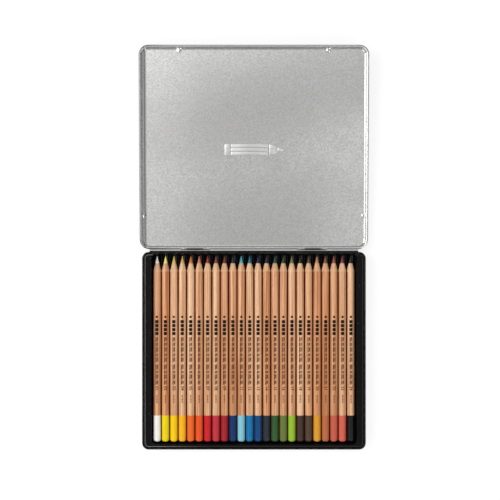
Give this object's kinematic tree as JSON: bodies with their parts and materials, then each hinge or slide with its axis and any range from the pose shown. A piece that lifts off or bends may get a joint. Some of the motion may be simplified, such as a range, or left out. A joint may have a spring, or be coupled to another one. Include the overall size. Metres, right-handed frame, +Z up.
{
  "type": "colored pencil tin",
  "caption": "Flat hinged sheet-metal tin with a curled-rim lid folded back, a channelled tray and a row of round wood-cased colored pencils that lift out.",
  "frame": {"origin": "centre of the base tin's flat underside", "axes": "+X to the right along the hinge line, +Y from the base towards the hinge and the open lid, +Z up out of the tin"},
  "size_m": [0.2152, 0.3781, 0.0173],
  "materials": {
    "black_tin": "satin black paint on sheet metal",
    "tray_plastic": "matte formed plastic",
    "bare_tin": "bare tinplate, fine mottled grain",
    "steel_wire": "drawn steel wire",
    "pencil_wood": "clear-lacquered natural wood",
    "lead_white": "waxy pigment",
    "lead_lemon": "waxy pigment",
    "lead_yellow": "waxy pigment",
    "lead_amber": "waxy pigment",
    "lead_orange": "waxy pigment",
    "lead_vermilion": "waxy pigment",
    "lead_red": "waxy pigment",
    "lead_wine": "waxy pigment",
    "lead_oxide_red": "waxy pigment",
    "lead_indigo": "waxy pigment",
    "lead_sky_blue": "waxy pigment",
    "lead_teal_blue": "waxy pigment",
    "lead_deep_blue": "waxy pigment",
    "lead_slate": "waxy pigment",
    "lead_dark_green": "waxy pigment",
    "lead_olive": "waxy pigment",
    "lead_leaf_green": "waxy pigment",
    "lead_umber": "waxy pigment",
    "lead_brown_grey": "waxy pigment",
    "lead_ochre": "waxy pigment",
    "lead_sienna": "waxy pigment",
    "lead_rust": "waxy pigment",
    "lead_madder": "waxy pigment",
    "lead_black": "waxy pigment"
  },
  "bodies": {
    "base": {"base_tin": "black_tin", "pencil_tray": "tray_plastic", "hinge_rail": "bare_tin", "hinge_pin_left": "steel_wire", "hinge_pin_right": "steel_wire"},
    "lid": {"lid_tin": "bare_tin"},
    "pencil_1": {"pencil_casing_1": "pencil_wood", "pencil_lead_1": "lead_white"},
    "pencil_2": {"pencil_casing_2": "pencil_wood", "pencil_lead_2": "lead_lemon"},
    "pencil_3": {"pencil_casing_3": "pencil_wood", "pencil_lead_3": "lead_yellow"},
    "pencil_4": {"pencil_casing_4": "pencil_wood", "pencil_lead_4": "lead_amber"},
    "pencil_5": {"pencil_casing_5": "pencil_wood", "pencil_lead_5": "lead_orange"},
    "pencil_6": {"pencil_casing_6": "pencil_wood", "pencil_lead_6": "lead_vermilion"},
    "pencil_7": {"pencil_casing_7": "pencil_wood", "pencil_lead_7": "lead_red"},
    "pencil_8": {"pencil_casing_8": "pencil_wood", "pencil_lead_8": "lead_wine"},
    "pencil_9": {"pencil_casing_9": "pencil_wood", "pencil_lead_9": "lead_oxide_red"},
    "pencil_10": {"pencil_casing_10": "pencil_wood", "pencil_lead_10": "lead_indigo"},
    "pencil_11": {"pencil_casing_11": "pencil_wood", "pencil_lead_11": "lead_sky_blue"},
    "pencil_12": {"pencil_casing_12": "pencil_wood", "pencil_lead_12": "lead_teal_blue"},
    "pencil_13": {"pencil_casing_13": "pencil_wood", "pencil_lead_13": "lead_deep_blue"},
    "pencil_14": {"pencil_casing_14": "pencil_wood", "pencil_lead_14": "lead_slate"},
    "pencil_15": {"pencil_casing_15": "pencil_wood", "pencil_lead_15": "lead_dark_green"},
    "pencil_16": {"pencil_casing_16": "pencil_wood", "pencil_lead_16": "lead_olive"},
    "pencil_17": {"pencil_casing_17": "pencil_wood", "pencil_lead_17": "lead_leaf_green"},
    "pencil_18": {"pencil_casing_18": "pencil_wood", "pencil_lead_18": "lead_umber"},
    "pencil_19": {"pencil_casing_19": "pencil_wood", "pencil_lead_19": "lead_brown_grey"},
    "pencil_20": {"pencil_casing_20": "pencil_wood", "pencil_lead_20": "lead_ochre"},
    "pencil_21": {"pencil_casing_21": "pencil_wood", "pencil_lead_21": "lead_sienna"},
    "pencil_22": {"pencil_casing_22": "pencil_wood", "pencil_lead_22": "lead_rust"},
    "pencil_23": {"pencil_casing_23": "pencil_wood", "pencil_lead_23": "lead_madder"},
    "pencil_24": {"pencil_casing_24": "pencil_wood", "pencil_lead_24": "lead_black"}
  },
  "joints": [
    {"name": "lid_hinge", "type": "hinge", "parent": "base", "child": "lid", "pos_m": [0, 0.09521, 0.0074], "axis": [-1, 0, 0], "range_deg": [-177, 0]},
    {"name": "pencil_1_lift", "type": "slide", "parent": "base", "child": "pencil_1", "axis": [0, 0, 1], "range_m": [0, 0.03]},
    {"name": "pencil_2_lift", "type": "slide", "parent": "base", "child": "pencil_2", "axis": [0, 0, 1], "range_m": [0, 0.03]},
    {"name": "pencil_3_lift", "type": "slide", "parent": "base", "child": "pencil_3", "axis": [0, 0, 1], "range_m": [0, 0.03]},
    {"name": "pencil_4_lift", "type": "slide", "parent": "base", "child": "pencil_4", "axis": [0, 0, 1], "range_m": [0, 0.03]},
    {"name": "pencil_5_lift", "type": "slide", "parent": "base", "child": "pencil_5", "axis": [0, 0, 1], "range_m": [0, 0.03]},
    {"name": "pencil_6_lift", "type": "slide", "parent": "base", "child": "pencil_6", "axis": [0, 0, 1], "range_m": [0, 0.03]},
    {"name": "pencil_7_lift", "type": "slide", "parent": "base", "child": "pencil_7", "axis": [0, 0, 1], "range_m": [0, 0.03]},
    {"name": "pencil_8_lift", "type": "slide", "parent": "base", "child": "pencil_8", "axis": [0, 0, 1], "range_m": [0, 0.03]},
    {"name": "pencil_9_lift", "type": "slide", "parent": "base", "child": "pencil_9", "axis": [0, 0, 1], "range_m": [0, 0.03]},
    {"name": "pencil_10_lift", "type": "slide", "parent": "base", "child": "pencil_10", "axis": [0, 0, 1], "range_m": [0, 0.03]},
    {"name": "pencil_11_lift", "type": "slide", "parent": "base", "child": "pencil_11", "axis": [0, 0, 1], "range_m": [0, 0.03]},
    {"name": "pencil_12_lift", "type": "slide", "parent": "base", "child": "pencil_12", "axis": [0, 0, 1], "range_m": [0, 0.03]},
    {"name": "pencil_13_lift", "type": "slide", "parent": "base", "child": "pencil_13", "axis": [0, 0, 1], "range_m": [0, 0.03]},
    {"name": "pencil_14_lift", "type": "slide", "parent": "base", "child": "pencil_14", "axis": [0, 0, 1], "range_m": [0, 0.03]},
    {"name": "pencil_15_lift", "type": "slide", "parent": "base", "child": "pencil_15", "axis": [0, 0, 1], "range_m": [0, 0.03]},
    {"name": "pencil_16_lift", "type": "slide", "parent": "base", "child": "pencil_16", "axis": [0, 0, 1], "range_m": [0, 0.03]},
    {"name": "pencil_17_lift", "type": "slide", "parent": "base", "child": "pencil_17", "axis": [0, 0, 1], "range_m": [0, 0.03]},
    {"name": "pencil_18_lift", "type": "slide", "parent": "base", "child": "pencil_18", "axis": [0, 0, 1], "range_m": [0, 0.03]},
    {"name": "pencil_19_lift", "type": "slide", "parent": "base", "child": "pencil_19", "axis": [0, 0, 1], "range_m": [0, 0.03]},
    {"name": "pencil_20_lift", "type": "slide", "parent": "base", "child": "pencil_20", "axis": [0, 0, 1], "range_m": [0, 0.03]},
    {"name": "pencil_21_lift", "type": "slide", "parent": "base", "child": "pencil_21", "axis": [0, 0, 1], "range_m": [0, 0.03]},
    {"name": "pencil_22_lift", "type": "slide", "parent": "base", "child": "pencil_22", "axis": [0, 0, 1], "range_m": [0, 0.03]},
    {"name": "pencil_23_lift", "type": "slide", "parent": "base", "child": "pencil_23", "axis": [0, 0, 1], "range_m": [0, 0.03]},
    {"name": "pencil_24_lift", "type": "slide", "parent": "base", "child": "pencil_24", "axis": [0, 0, 1], "range_m": [0, 0.03]}
  ]
}
